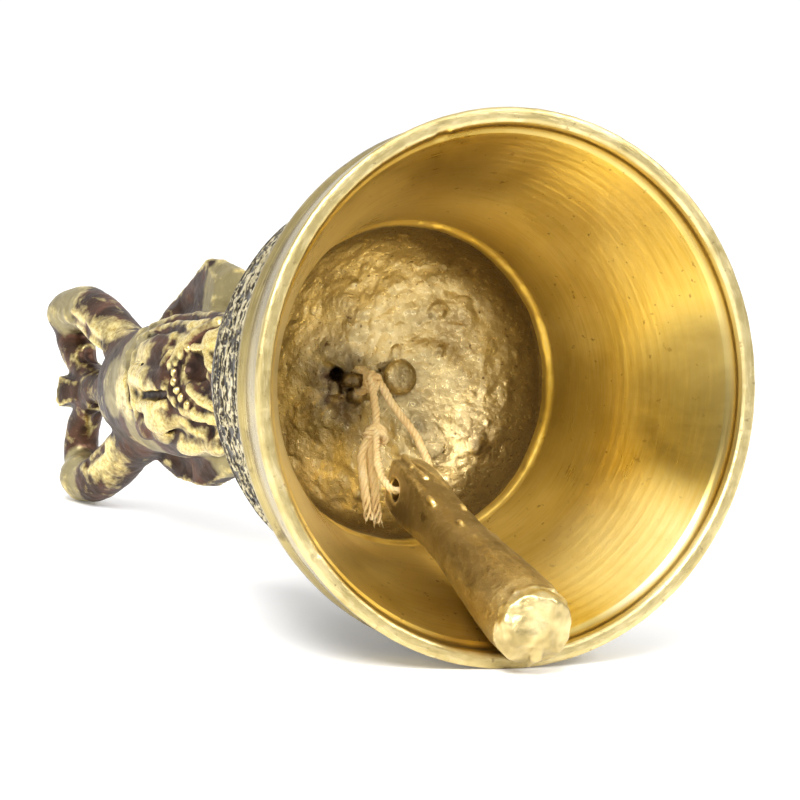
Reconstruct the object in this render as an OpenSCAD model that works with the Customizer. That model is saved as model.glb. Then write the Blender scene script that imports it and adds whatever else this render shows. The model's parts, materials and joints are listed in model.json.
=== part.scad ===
// Cast brass hand bell with a figured handle and a clapper hung on twine.
// The bell is drawn upright on its own axis: the mouth is at z = 0 and the handle is above it.
// lay_down() then rests it on its side, on the lip and on the lower horn, with the mouth
// facing -Y. On the bell's own axes, +y is the side that ends up underneath.

/* [Cup] */
// Outer radius of the mouth
mouth_r = 35; // [30:0.5:40]
// Width of the flat face of the lip
lip_w = 1.8; // [1.2:0.1:2.4]
// Height of the bead above the polished lip band
band_z = 8.9; // [7:0.1:11]
// Radius under that bead
band_r = 33.5; // [32:0.1:34]
// Height of the ridges below the shoulder
shoulder_z = 34.5; // [33:0.1:36]
// Radius at those ridges
shoulder_r = 25.5; // [25:0.1:27]
// Height of the top of the crown
crown_z = 51.5; // [51:0.1:53]
// Height where the turned flare ends and the rough hollow begins
step_z = 29.8; // [28:0.1:31]
// Radius of the flare at that step
step_r = 21.4; // [21:0.1:22]
// Height of the hollow's ceiling on the axis
dome_z = 46.6; // [45:0.1:47]
// Curvature of the flare: 1 is a straight cone
flare_power = 1.46; // [1.2:0.01:1.7]

/* [Handle] */
// Radius of the tenon that joins handle and cup
tenon_r = 3; // [2.5:0.1:3.5]
// Height of the lower end of the figured trunk
trunk_z = 74; // [72:1:78]
// Sideways lean of the handle, in mm for each mm of height
lean = 0.041; // [0:0.001:0.045]
// Thickness of the horns
horn_t = 6; // [5:0.1:7]
// How far the lower horn reaches from the axis
foot_y = 21.2; // [20:0.1:22]
// Height of the lower horn's foot
foot_z = 144; // [142:0.5:146]

/* [Clapper] */
// Height of the bar of the eye that the twine is tied round
eye_z = 44; // [43.8:0.1:44]
// Distance of the clapper's hole from the axis
hole_y = 14; // [13.5:0.1:14.2]
// Height of the clapper's hole
hole_z = 28.6; // [28:0.1:29]
// Distance from the clapper's hole to its tip
clapper_l = 39.3; // [39:0.1:39.6]
// Lean of the clapper from the bell's axis
clapper_lean = 24; // [23:0.1:24.1]
// Thickness of the twine
twine_d = 1.2; // [1:0.1:1.2]

/* [Hidden] */
tilt = atan((mouth_r - foot_y) / foot_z);
lip_edge = 0.4;
lift = mouth_r * cos(tilt) + lip_edge * sin(tilt);
// Distance along Y from the middle of the lying bell to the middle of its mouth
mouth_back = 72.36;
brass = [0.79, 0.62, 0.28];
dark_brass = [0.36, 0.27, 0.2];
cream = [0.9, 0.82, 0.62];
mouth_in = mouth_r - lip_w;

// Rests the upright bell on its side, its middle over the origin.
module lay_down() {
    translate([0, -mouth_back, lift]) rotate([-(90 + tilt), 0, 0]) children();
}

// Leans the upright handle sideways from the crown up
module leaning() {
    multmatrix([[1, 0, 0, 0], [0, 1, lean, -lean * crown_z], [0, 0, 1, 0], [0, 0, 0, 1]])
        children();
}

// Radius of the turned flare at height z
function flare_r(z) = step_r + (mouth_in - step_r) * pow(1 - z / step_z, flare_power);

// Points of an elliptical arc about [cx, cz], from angle a0 to a1
function arc(cx, cz, rx, rz, a0, a1, n) =
    [for (i = [0:n]) let (a = a0 + (a1 - a0) * i / n) [cx + rx * cos(a), cz + rz * sin(a)]];

// Vectors for a tube that is swept along a list of points
function unit(v) = v / norm(v);
function dir_at(p, i) = unit(p[min(i + 1, len(p) - 1)] - p[max(i - 1, 0)]);
function side_at(t, wide) = unit(wide - t * (wide * t));
function ring_at(p, t, s, w, h, n) =
    [for (k = [0:n - 1]) let (a = 360 * k / n) p + s * w * cos(a) + cross(t, s) * h * sin(a)];

// A closed tube along the points p, w[i] wide along the direction wide and h[i] thick across it.
module tube(p, w, h, wide, n = 12) {
    last = len(p) - 1;
    rings = [for (i = [0:last])
        let (t = dir_at(p, i)) ring_at(p[i], t, side_at(t, wide), w[i], h[i], n)];
    ends = [[for (k = [0:n - 1]) k], [for (k = [n - 1:-1:0]) last * n + k]];
    walls = [for (i = [0:last - 1]) for (k = [0:n - 1]) for (half = [0, 1])
        let (k2 = (k + 1) % n, a = i * n)
            half == 0 ? [a + k, a + n + k, a + n + k2] : [a + k, a + n + k2, a + k2]];
    polyhedron([for (r = rings) each r], concat(ends, walls), convexity = 6);
}

// ---- cup ----

module bell_cup() {
    ridge = 0.35;
    outside = concat(
        [[mouth_in, 0], [mouth_r - lip_edge, 0], [mouth_r, lip_edge], [mouth_r - 0.4, 3]],
        [[band_r - 0.1, band_z - 2.4], [band_r - 0.2, band_z - 1], [band_r + 0.25, band_z]],
        [[band_r - 0.7, band_z + 1.2]],
        [[shoulder_r + 0.6, shoulder_z - 1]],
        [for (i = [0:2]) for (e = [0, 1])
            [shoulder_r + 0.5 - 0.5 * i - (e ? ridge : 0), shoulder_z + i * 0.9 + e * 0.45]],
        arc(4, shoulder_z + 2.6, shoulder_r - 5.2, crown_z - shoulder_z - 2.6, 0, 80, 10),
        [[tenon_r, crown_z]]);
    inside = concat(
        [[tenon_r, dome_z - 0.2]],
        arc(0, step_z + 2.2, step_r - 0.9, dome_z - step_z - 2.2, 76, 0, 9),
        [[step_r - 0.7, step_z + 0.8]],
        [for (i = [8:-1:1]) [flare_r(step_z * i / 8), step_z * i / 8]]);
    color(brass) lay_down()
        rotate_extrude($fn = 180) polygon(concat(outside, inside));
}

// ---- handle ----

// Turned foot between crown and trunk, with the tenon that is peened over inside the cup
module handle_stem() {
    color(dark_brass) lay_down() rotate_extrude($fn = 96) polygon(concat(
        [[0, dome_z - 0.3], [tenon_r, dome_z - 0.3], [tenon_r, crown_z]],
        [[11, crown_z], [11.6, crown_z + 1], [11, crown_z + 2.2], [8, crown_z + 3.6]],
        arc(12.5, crown_z + 9, 6.5, 5.4, 270 - 30, 90 + 30, 6),
        [[11, crown_z + 14.8], [11.6, crown_z + 16], [11, crown_z + 17.4]],
        [[8.6, crown_z + 19], [9.4, trunk_z], [0, trunk_z]]));
}

// Trunk with the beast mask, widest at the cheeks and narrow at the forehead
module handle_trunk() {
    z = [trunk_z, 80, 87, 95, 103, 112, 120, 126, 130];
    w = [9, 9.8, 10.2, 10.4, 10.7, 9.8, 9.1, 7.4, 5];
    t = [8, 8.6, 9, 9.2, 9, 8, 7, 5.8, 4];
    color(dark_brass) lay_down() leaning()
        tube([for (h = z) [0, 0, h]], w, t, [0, 1, 0], 24);
}

// Two thin ridges round the forehead
module handle_collar() {
    color(brass) lay_down() leaning() for (z = [106, 109.4])
        tube([for (dz = [-0.9, -0.3, 0.3, 0.9]) [0, 0, z + dz]],
             [9.8, 10.6, 10.6, 9.8], [8, 9, 9, 8], [0, 1, 0], 24);
}

// A horn in the plane of the wings: up and out from the forehead, then back to the crest
module horn(p) {
    w = [for (i = [0:len(p) - 1]) horn_t / 2 * (i < 6 ? 1.12 : 0.92)];
    color(dark_brass) lay_down() leaning() tube(p, w * 1.1, w, [1, 0, 0], 16);
}

module horn_upper() {
    horn([[0, -4, 122], [0, -5.6, 128], [0, -8, 134], [0, -10.4, 139], [0, -12.2, 143.6],
          [0, -12.9, 148], [0, -12, 151.8], [0, -9.4, 153.4], [0, -6.6, 151.6],
          [0, -4, 149], [0, -1, 146.2]]);
}

module horn_lower() {
    horn([[0, 6, 117], [0, 7.6, 122.6], [0, 9.6, 128], [0, 11.8, 133], [0, 13.6, 138.4],
          [0, foot_y - lean * (foot_z - crown_z) - 3.4, foot_z], [0, 13.4, 148],
          [0, 10.4, 150.4], [0, 6.8, 149.9], [0, 3.8, 147.9], [0, 1, 145.8]]);
}

// Dark post between the horns, with a pointed knob
module crest_knob() {
    z = [127, 133, 138, 143.4, 147, 149, 150.8, 152];
    w = [4.6, 3.8, 3.4, 3.8, 3.4, 3, 2, 0.7];
    color(brass) lay_down() leaning() tube([for (h = z) [0, 0, h]], w, w, [0, 1, 0], 16);
}

// Angular wing behind the mask: side is -1 for the upper one and 1 for the lower one
module wing(side, reach) {
    color(dark_brass) lay_down() leaning() {
        hull() {
            for (x = [1, 5]) translate([x, side * 5, 128]) sphere(2, $fn = 20);
            for (x = [3, 7]) translate([x, side * (reach - 2), 108]) sphere(2, $fn = 20);
            for (x = [3, 7]) translate([x, side * 7, 104]) sphere(3, $fn = 20);
        }
        hull() {
            for (x = [3, 7]) translate([x, side * (reach - 2), 108]) sphere(2, $fn = 20);
            for (x = [3, 7]) translate([x, side * 7, 104]) sphere(3, $fn = 20);
            for (x = [3, 7]) translate([x, side * (reach - 4), 94]) sphere(2, $fn = 20);
            for (x = [1, 6]) translate([x, side * 7, 86]) sphere(3, $fn = 20);
        }
    }
}

module wing_upper() { wing(-1, 18.2); }
module wing_lower() { wing(1, 15.6); }

// ---- inside the cup ----

// Cast arch that the twine is tied round; its bar runs along x
module twine_eye() {
    foot_x = 2;
    color(dark_brass) lay_down() {
        translate([-foot_x, 0, eye_z]) rotate([0, 90, 0])
            cylinder(r = bar_r, h = 2 * foot_x, $fn = 32);
        for (x = [-foot_x, foot_x]) translate([x, 0, eye_z]) {
            sphere(bar_r + 0.05, $fn = 32);
            cylinder(r = bar_r, h = dome_z - 0.3 - eye_z, $fn = 32);
        }
    }
}

// Low round boss left on the ceiling by the casting sprue
module casting_boss() {
    color(brass) lay_down() translate([6.8, -0.6, dome_z - 2.6])
        cylinder(r1 = 2.1, r2 = 2.5, h = 2.2, $fn = 48);
}

// ---- twine and clapper ----

bar_r = 0.9;
knot_z = eye_z - 3.3;
hang = [0, hole_y, hole_z - knot_z];
// Half the gap between the strands where they pass on either side of the clapper's flat top
strand_x = 3.9;

// Turn of twine round the bar of the eye
module twine_hitch() {
    color(cream) lay_down() translate([0, 0, eye_z]) rotate([0, 90, 0])
        rotate_extrude($fn = 48) translate([bar_r + twine_d / 2 + 0.03, 0])
            circle(r = twine_d / 2, $fn = 24);
}

// Barrel knot on the axis, just under the eye, where the hanging twine turns
module twine_knot() {
    color(cream) lay_down() translate([0, 0, knot_z]) rotate([0, 90, 0])
        rotate_extrude($fn = 48)
            polygon([[0, -1.1], [0.6, -1.1], [0.9, -0.5], [0.9, 0.5], [0.6, 1.1], [0, 1.1]]);
}

// One loop of twine: down one side of the clapper's flat top, through its hole and back up
module twine_strands() {
    side = [for (s = [0.14, 0.35, 0.55, 0.75, 0.92])
        [strand_x * min(1, 0.25 + s), 0, knot_z] + hang * s];
    bottom = [for (a = [60:-30:-60]) [(strand_x - 0.3) * sin(a) / sin(60), hole_y, hole_z]];
    route = concat(side, bottom, [for (i = [4:-1:0]) [-side[i][0], side[i][1], side[i][2]]]);
    half = [for (p = route) twine_d / 2];
    color(cream) lay_down() tube(route, half, half, cross(unit(hang), [1, 0, 0]), 8);
}

// Frayed ends of the knot, hanging straight down
module twine_tails() {
    color(cream) lay_down() for (k = [0, 1])
        tube([for (s = [0, 0.3, 0.6, 1]) [-1.4 - 1.5 * k, 8.2, 37.2] + [0.4 * k * s, 10.4 * s, -0.4 * s]],
             [0.8, 0.9, 0.8, 0.4], [0.8, 0.9, 0.8, 0.4], [1, 0, 0], 8);
}

// Club-shaped clapper: flat top with a hole, round neck, thick blunt end
module clapper() {
    s = [-3, -2.2, 0, 3.5, 7, 11, 16, 23, 29.8, 34.3, 37.3, 38.7, clapper_l];
    w = [2.6, 3.3, 3.7, 3.8, 3.7, 3.6, 3.8, 4.4, 5, 5.2, 5, 4.4, 3.4];
    t = [1.9, 2.3, 2.6, 2.7, 3.1, 3.4, 3.8, 4.4, 5, 5.2, 5, 4.4, 3.4];
    color(dark_brass) lay_down() translate([0, hole_y, hole_z])
        rotate([clapper_lean, 0, 0]) difference() {
            tube([for (d = s) [0, 0, -d]], t, w, [1, 0, 0], 24);
            rotate([0, 90, 0]) cylinder(r = 1.6, h = 12, center = true, $fn = 32);
        }
}

bell_cup();
handle_stem();
handle_trunk();
handle_collar();
horn_upper();
horn_lower();
crest_knob();
wing_upper();
wing_lower();
twine_eye();
casting_boss();
twine_hitch();
twine_knot();
twine_strands();
twine_tails();
clapper();
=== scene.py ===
"""Cast brass hand bell lying on its side: turned cup, figured handle, clapper hung on twine.

Every piece is modelled upright in the bell's own frame, in millimetres: the mouth is at z = 0, the
handle is above it, and +y is the side that is underneath when the bell lies down. place() puts a
piece into the frame, from the axis of the twine's joint and the lip's mount.
"""
import json
import math

import bpy
import numpy as np
from mathutils import Matrix, Vector


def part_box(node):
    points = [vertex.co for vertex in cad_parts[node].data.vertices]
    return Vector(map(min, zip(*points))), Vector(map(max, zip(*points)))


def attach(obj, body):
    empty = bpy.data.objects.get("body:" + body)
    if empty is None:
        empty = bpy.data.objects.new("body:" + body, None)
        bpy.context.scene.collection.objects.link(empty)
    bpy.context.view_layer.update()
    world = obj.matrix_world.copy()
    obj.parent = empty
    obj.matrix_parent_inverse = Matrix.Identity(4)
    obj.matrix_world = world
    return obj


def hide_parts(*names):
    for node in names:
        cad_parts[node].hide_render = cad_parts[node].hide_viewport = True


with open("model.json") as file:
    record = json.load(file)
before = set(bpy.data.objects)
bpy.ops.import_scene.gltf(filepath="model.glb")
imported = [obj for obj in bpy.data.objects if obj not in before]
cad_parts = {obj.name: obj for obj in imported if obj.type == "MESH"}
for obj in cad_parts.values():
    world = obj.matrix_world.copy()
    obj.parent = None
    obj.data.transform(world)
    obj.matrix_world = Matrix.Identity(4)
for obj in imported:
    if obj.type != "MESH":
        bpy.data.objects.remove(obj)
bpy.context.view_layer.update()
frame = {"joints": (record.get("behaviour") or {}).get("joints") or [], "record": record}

MM = 0.001
JOINTS = {j["name"]: j for j in frame["joints"]}
MOUNTS = {m["name"]: m for m in frame["record"]["mounts"]}


# ---------------------------------------------------------------- the bell's own frame

def bell_matrix():
    """The bell's own axes, placed so that the mouth's centre is at the origin."""
    axis = Vector(JOINTS["twine_turn"]["axis"]).normalized()
    knot = Vector(JOINTS["twine_turn"]["pos_m"])
    lip = Vector(MOUNTS["mouth_lip"]["pos_m"])
    mouth = knot - axis * (knot - lip).dot(axis)
    side = Vector((1, 0, 0))
    under = axis.cross(side)
    m = Matrix((side, under, axis)).transposed().to_4x4()
    m.translation = mouth
    return m


BELL = bell_matrix()
TO_BELL = BELL.inverted()


def own(joint):
    """A joint's place in the bell's own frame, in mm."""
    return np.array(TO_BELL @ Vector(JOINTS[joint]["pos_m"])) / MM


KNOT = own("twine_turn")
HOLE = own("clapper_tilt")
MOUTH_R = (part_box("bell_cup")[1].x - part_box("bell_cup")[0].x) / 2 / MM


def keep_own(mesh, points):
    """Keeps each point's place in mm on the mesh, for the materials."""
    layer = mesh.attributes.new("own", "FLOAT_VECTOR", "POINT")
    layer.data.foreach_set("vector", np.asarray(points, np.float32).ravel())


def place(name, verts, faces, material, body, slot, nodes, **layers):
    """Makes a mesh from points in mm in the bell's own frame, and hangs it on its body.

    Each layer holds a number for every point, which a material reads by the layer's name.
    """
    verts = np.asarray(verts, float)
    turn, shift = np.array(BELL.to_3x3()), np.array(BELL.translation)
    mesh = bpy.data.meshes.new(name)
    mesh.from_pydata(((verts * MM) @ turn.T + shift).tolist(), [], [list(map(int, f)) for f in faces])
    keep_own(mesh, verts)
    for layer, values in layers.items():
        values = np.broadcast_to(values, len(verts)).astype(np.float32)
        mesh.attributes.new(layer, "FLOAT", "POINT").data.foreach_set("value", values)
    mesh.polygons.foreach_set("use_smooth", [True] * len(mesh.polygons))
    mesh.materials.append(material)
    piece = bpy.data.objects.new(name, mesh)
    bpy.context.scene.collection.objects.link(piece)
    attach(piece, body)
    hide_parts(*nodes)
    return piece


# ---------------------------------------------------------------- noise and mesh helpers

def lattice(cell, seed):
    """A repeatable random number from 0 to 1 for each whole-number cell."""
    h = (cell[..., 0] * 374761393 + cell[..., 1] * 668265263 + cell[..., 2] * 2147483647
         + seed * 1274126177) & 0xFFFFFFFF
    h = ((h ^ (h >> 13)) * 1274126177) & 0xFFFFFFFF
    h = ((h ^ (h >> 16)) * 2246822519) & 0xFFFFFFFF
    return ((h ^ (h >> 15)) & 0xFFFFFF) / float(0xFFFFFF)


def noise(p, size, seed=0):
    """Smooth noise from -1 to 1, with lumps of about that size in mm."""
    q = np.asarray(p, float) / size
    base = np.floor(q).astype(np.int64)
    f = q - base
    f = f * f * f * (f * (f * 6 - 15) + 10)
    total = np.zeros(q.shape[:-1])
    for i in (0, 1):
        for j in (0, 1):
            for k in (0, 1):
                w = (np.abs(1 - i - f[..., 0]) * np.abs(1 - j - f[..., 1])
                     * np.abs(1 - k - f[..., 2]))
                total += w * lattice(base + np.array([i, j, k]), seed)
    return total * 2 - 1


def fractal(p, size, octaves=4, seed=0, rough=0.5):
    """Several octaves of noise."""
    total, gain, norm = 0.0, 1.0, 0.0
    for k in range(octaves):
        total = total + gain * noise(p, size / 2 ** k, seed + k)
        norm += gain
        gain *= rough
    return total / norm


def smoothstep(x, a, b):
    """0 below a, 1 above b, smooth between (a may be above b)."""
    t = np.clip((x - a) / (b - a), 0, 1)
    return t * t * (3 - 2 * t)


def grid_faces(rows, cols, wrap=True):
    """Quads of a grid whose columns close on themselves when wrap is true."""
    faces = []
    for r in range(rows - 1):
        for c in range(cols if wrap else cols - 1):
            d = (c + 1) % cols
            faces.append((r * cols + c, r * cols + d, (r + 1) * cols + d, (r + 1) * cols + c))
    return faces


# ---------------------------------------------------------------- clay: shapes by distance fields

class Clay:
    """A block of distance values that shapes are added to and cut from, in mm."""

    def __init__(self, low, high, step):
        self.low, self.step = np.array(low, float), step
        self.shape = tuple(np.ceil((np.array(high) - self.low) / step).astype(int) + 1)
        self.field = np.full(self.shape, 9.0, np.float32)

    def region(self, low, high):
        a = np.maximum(np.floor((np.array(low) - self.low) / self.step).astype(int), 0)
        b = np.minimum(np.ceil((np.array(high) - self.low) / self.step).astype(int) + 1, self.shape)
        axes = [self.low[k] + self.step * np.arange(a[k], b[k]) for k in range(3)]
        where = tuple(slice(a[k], b[k]) for k in range(3))
        return where, np.stack(np.meshgrid(*axes, indexing="ij"), -1).astype(np.float32)

    def add(self, shape, low, high, blend=0.8):
        where, p = self.region(np.array(low) - blend - 1, np.array(high) + blend + 1)
        a, b = self.field[where], shape(p)
        h = np.maximum(blend - np.abs(a - b), 0) / blend
        self.field[where] = np.minimum(a, b) - h * h * blend / 4

    def cut(self, shape, low, high, blend=0.4):
        where, p = self.region(np.array(low) - blend - 1, np.array(high) + blend + 1)
        a, b = self.field[where], -shape(p)
        h = np.maximum(blend - np.abs(a - b), 0) / blend
        self.field[where] = np.maximum(a, b) + h * h * blend / 4

    def rope(self, points, radii, blend=0.8, cut=False):
        """A rounded rope through the points, added to the clay or cut out of it."""
        points = np.asarray(points, float)
        radii = np.broadcast_to(np.asarray(radii, float), len(points))
        for a, b, ra, rb in zip(points[:-1], points[1:], radii[:-1], radii[1:]):
            r = max(ra, rb)
            low, high = np.minimum(a, b) - r, np.maximum(a, b) + r
            shape = lambda p, a=a, b=b, ra=ra, rb=rb: capsule(p, a, b, ra, rb)
            (self.cut if cut else self.add)(shape, low, high, blend)

    def ball(self, centre, radii, blend=0.6, cut=False):
        centre, radii = np.asarray(centre, float), np.broadcast_to(np.asarray(radii, float), 3)
        shape = lambda p: ellipsoid(p, centre, radii)
        (self.cut if cut else self.add)(shape, centre - radii, centre + radii, blend)

    def mesh(self):
        """The zero surface as quads: one point in each cell that the surface crosses."""
        f = self.field
        inside = f < 0
        count = sum(inside[i:i + f.shape[0] - 1, j:j + f.shape[1] - 1, k:k + f.shape[2] - 1]
                    .astype(np.int8) for i in (0, 1) for j in (0, 1) for k in (0, 1))
        cells = np.argwhere((count > 0) & (count < 8))
        index = np.full(count.shape, -1, np.int64)
        index[tuple(cells.T)] = np.arange(len(cells))
        total, hits = np.zeros((len(cells), 3)), np.zeros(len(cells))
        corners = [np.array((i, j, k)) for i in (0, 1) for j in (0, 1) for k in (0, 1)]
        for a in corners:
            for axis in range(3):
                if a[axis]:
                    continue
                b = a.copy()
                b[axis] = 1
                fa, fb = f[tuple((cells + a).T)], f[tuple((cells + b).T)]
                hit = (fa < 0) != (fb < 0)
                t = np.where(hit, fa / np.where(hit, fa - fb, 1), 0)
                total += np.where(hit[:, None], a + (b - a) * t[:, None], 0)
                hits += hit
        verts = self.low + self.step * (cells + total / hits[:, None])
        quads = []
        for axis in range(3):
            u, v = (axis + 1) % 3, (axis + 2) % 3
            ahead = [slice(None)] * 3
            behind = [slice(None)] * 3
            ahead[axis], behind[axis] = slice(1, None), slice(None, -1)
            for sign, mask in ((1, inside[tuple(behind)] & ~inside[tuple(ahead)]),
                               (-1, ~inside[tuple(behind)] & inside[tuple(ahead)])):
                at = np.argwhere(mask)
                at = at[(at[:, u] > 0) & (at[:, v] > 0)]
                ring = []
                for du, dv in ((1, 1), (0, 1), (0, 0), (1, 0)):
                    c = at.copy()
                    c[:, u] -= du
                    c[:, v] -= dv
                    ring.append(index[tuple(c.T)])
                quads.append(np.stack(ring[::sign], 1))
        return verts, np.concatenate(quads)


def capsule(p, a, b, ra, rb):
    """Distance to a round-ended rod whose radius goes from ra to rb."""
    ab = (b - a).astype(np.float32)
    t = np.clip(((p - a.astype(np.float32)) @ ab) / max(float(ab @ ab), 1e-9), 0, 1)
    return np.linalg.norm(p - a.astype(np.float32) - t[..., None] * ab, axis=-1) - (ra + (rb - ra) * t)


def ellipsoid(p, centre, radii):
    q = (p - centre.astype(np.float32)) / radii.astype(np.float32)
    k = np.linalg.norm(q, axis=-1)
    return (k - 1) * float(radii.min())


def slab(p, planes):
    """Distance to the space inside several planes, each (point, outward direction)."""
    d = None
    for point, out in planes:
        out = np.array(out, np.float32) / np.linalg.norm(out)
        e = (p - np.array(point, np.float32)) @ out
        d = e if d is None else np.maximum(d, e)
    return d


def neighbours_mean(values, quads, rounds):
    """Values averaged over the mesh's edges, several times."""
    a = np.concatenate([quads[:, 0], quads[:, 1], quads[:, 2], quads[:, 3]])
    b = np.concatenate([quads[:, 1], quads[:, 2], quads[:, 3], quads[:, 0]])
    n = len(values)
    count = np.bincount(a, minlength=n) + np.bincount(b, minlength=n)
    for _ in range(rounds):
        total = np.stack([np.bincount(a, values[b, k], n) + np.bincount(b, values[a, k], n)
                          for k in range(values.shape[1])], 1)
        values = total / np.maximum(count, 1)[:, None]
    return values


def point_normals(verts, quads):
    face = np.cross(verts[quads[:, 2]] - verts[quads[:, 0]], verts[quads[:, 3]] - verts[quads[:, 1]])
    total = np.stack([sum(np.bincount(quads[:, i], face[:, k], len(verts)) for i in range(4))
                      for k in range(3)], 1)
    return total / np.maximum(np.linalg.norm(total, axis=1), 1e-12)[:, None]


def relief(verts, quads, rounds):
    """How far each point stands out of its smoothed surroundings, in mm."""
    out = point_normals(verts, quads)
    return ((verts - neighbours_mean(verts, quads, rounds)) * out).sum(1)


# ---------------------------------------------------------------- materials

class Paint:
    """A material under construction: each call adds a node and returns its output.

    self.at is the place in mm in the bell's own frame, kept on each mesh as "own".
    """

    def __init__(self, name):
        self.material = bpy.data.materials.new(name)
        self.material.use_nodes = True
        self.tree = self.material.node_tree
        self.shader = self.tree.nodes["Principled BSDF"]
        coords = self.tree.nodes.new("ShaderNodeAttribute")
        coords.attribute_name = "own"
        self.at = coords.outputs["Vector"]

    def link(self, socket, value):
        if isinstance(value, bpy.types.NodeSocket):
            self.tree.links.new(value, socket)
        elif value is not None:
            socket.default_value = value

    def vector(self, operation, a, b=None):
        n = self.tree.nodes.new("ShaderNodeVectorMath")
        n.operation = operation
        self.link(n.inputs[0], a)
        self.link(n.inputs[1], b)
        return n.outputs[1 if operation == "LENGTH" else 0]

    def math(self, operation, a, b, clamp=False):
        n = self.tree.nodes.new("ShaderNodeMath")
        n.operation = operation
        n.use_clamp = clamp
        self.link(n.inputs[0], a)
        self.link(n.inputs[1], b)
        return n.outputs[0]

    def times(self, a, b, clamp=False):
        return self.math("MULTIPLY", a, b, clamp)

    def plus(self, a, b):
        return self.math("ADD", a, b)

    def noise(self, scale, detail=3, rough=0.5, at=None, distort=0.0):
        n = self.tree.nodes.new("ShaderNodeTexNoise")
        self.link(n.inputs["Vector"], at or self.at)
        n.inputs["Scale"].default_value = scale
        n.inputs["Detail"].default_value = detail
        n.inputs["Roughness"].default_value = rough
        n.inputs["Distortion"].default_value = distort
        return n.outputs["Fac"]

    def ramp(self, value, *stops):
        """Colours, or greys, along a value: each stop is (place, colour or number)."""
        n = self.tree.nodes.new("ShaderNodeValToRGB")
        self.link(n.inputs["Fac"], value)
        band = n.color_ramp
        while len(band.elements) < len(stops):
            band.elements.new(0.5)
        for element, (where, colour) in zip(band.elements, stops):
            element.position = where
            grey = isinstance(colour, (int, float))
            element.color = (colour,) * 3 + (1,) if grey else tuple(colour) + (1,)
        return n.outputs["Color"]

    def mix(self, share, a, b):
        n = self.tree.nodes.new("ShaderNodeMix")
        n.data_type = "RGBA"
        self.link(n.inputs["Factor"], share)
        for socket, value in ((n.inputs["A"], a), (n.inputs["B"], b)):
            value = tuple(value) + (1,) if isinstance(value, tuple) and len(value) == 3 else value
            self.link(socket, value)
        return n.outputs["Result"]

    def bump(self, height, distance, strength):
        n = self.tree.nodes.new("ShaderNodeBump")
        n.inputs["Strength"].default_value = strength
        n.inputs["Distance"].default_value = distance * MM
        self.link(n.inputs["Height"], height)
        return n.outputs["Normal"]

    def attribute(self, name):
        n = self.tree.nodes.new("ShaderNodeAttribute")
        n.attribute_name = name
        return n.outputs["Fac"]

    def split(self, vector):
        n = self.tree.nodes.new("ShaderNodeSeparateXYZ")
        self.link(n.inputs[0], vector)
        return n.outputs

    def join(self, x, y, z):
        n = self.tree.nodes.new("ShaderNodeCombineXYZ")
        for socket, value in zip(n.inputs, (x, y, z)):
            self.link(socket, value)
        return n.outputs[0]

    def turned(self, around=3.0, across=20.0):
        """Coordinates that are long round the bell's axis and fine across it, for lathe marks."""
        x, y, z = self.split(self.at)
        r = self.math("MAXIMUM", self.vector("LENGTH", self.join(x, y, 0.0)), 0.01)
        return self.join(self.times(self.math("DIVIDE", x, r), around),
                         self.times(self.math("DIVIDE", y, r), around),
                         self.times(self.plus(z, r), across))

    def finish(self, colour, roughness, normal=None, metallic=1.0):
        self.link(self.shader.inputs["Base Color"], colour)
        self.link(self.shader.inputs["Roughness"], roughness)
        self.link(self.shader.inputs["Metallic"], metallic)
        self.link(self.shader.inputs["Normal"], normal)
        return self.material


def ease(tree, value, start, end, top):
    """A smooth rise from 0 to top while the value goes from start to end."""
    n = tree.nodes.new("ShaderNodeMapRange")
    n.interpolation_type = "SMOOTHSTEP"
    for socket, number in zip(n.inputs[1:5], (start, end, 0.0, top)):
        socket.default_value = number
    tree.links.new(value, n.inputs[0])
    return n.outputs[0]


def patch(p, centre, outer, inner):
    """A soft round patch: 1 within the inner radius in mm, 0 beyond the outer."""
    away = p.vector("LENGTH", p.vector("SUBTRACT", p.at, centre))
    return ease(p.tree, away, outer, inner, 1.0)


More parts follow.
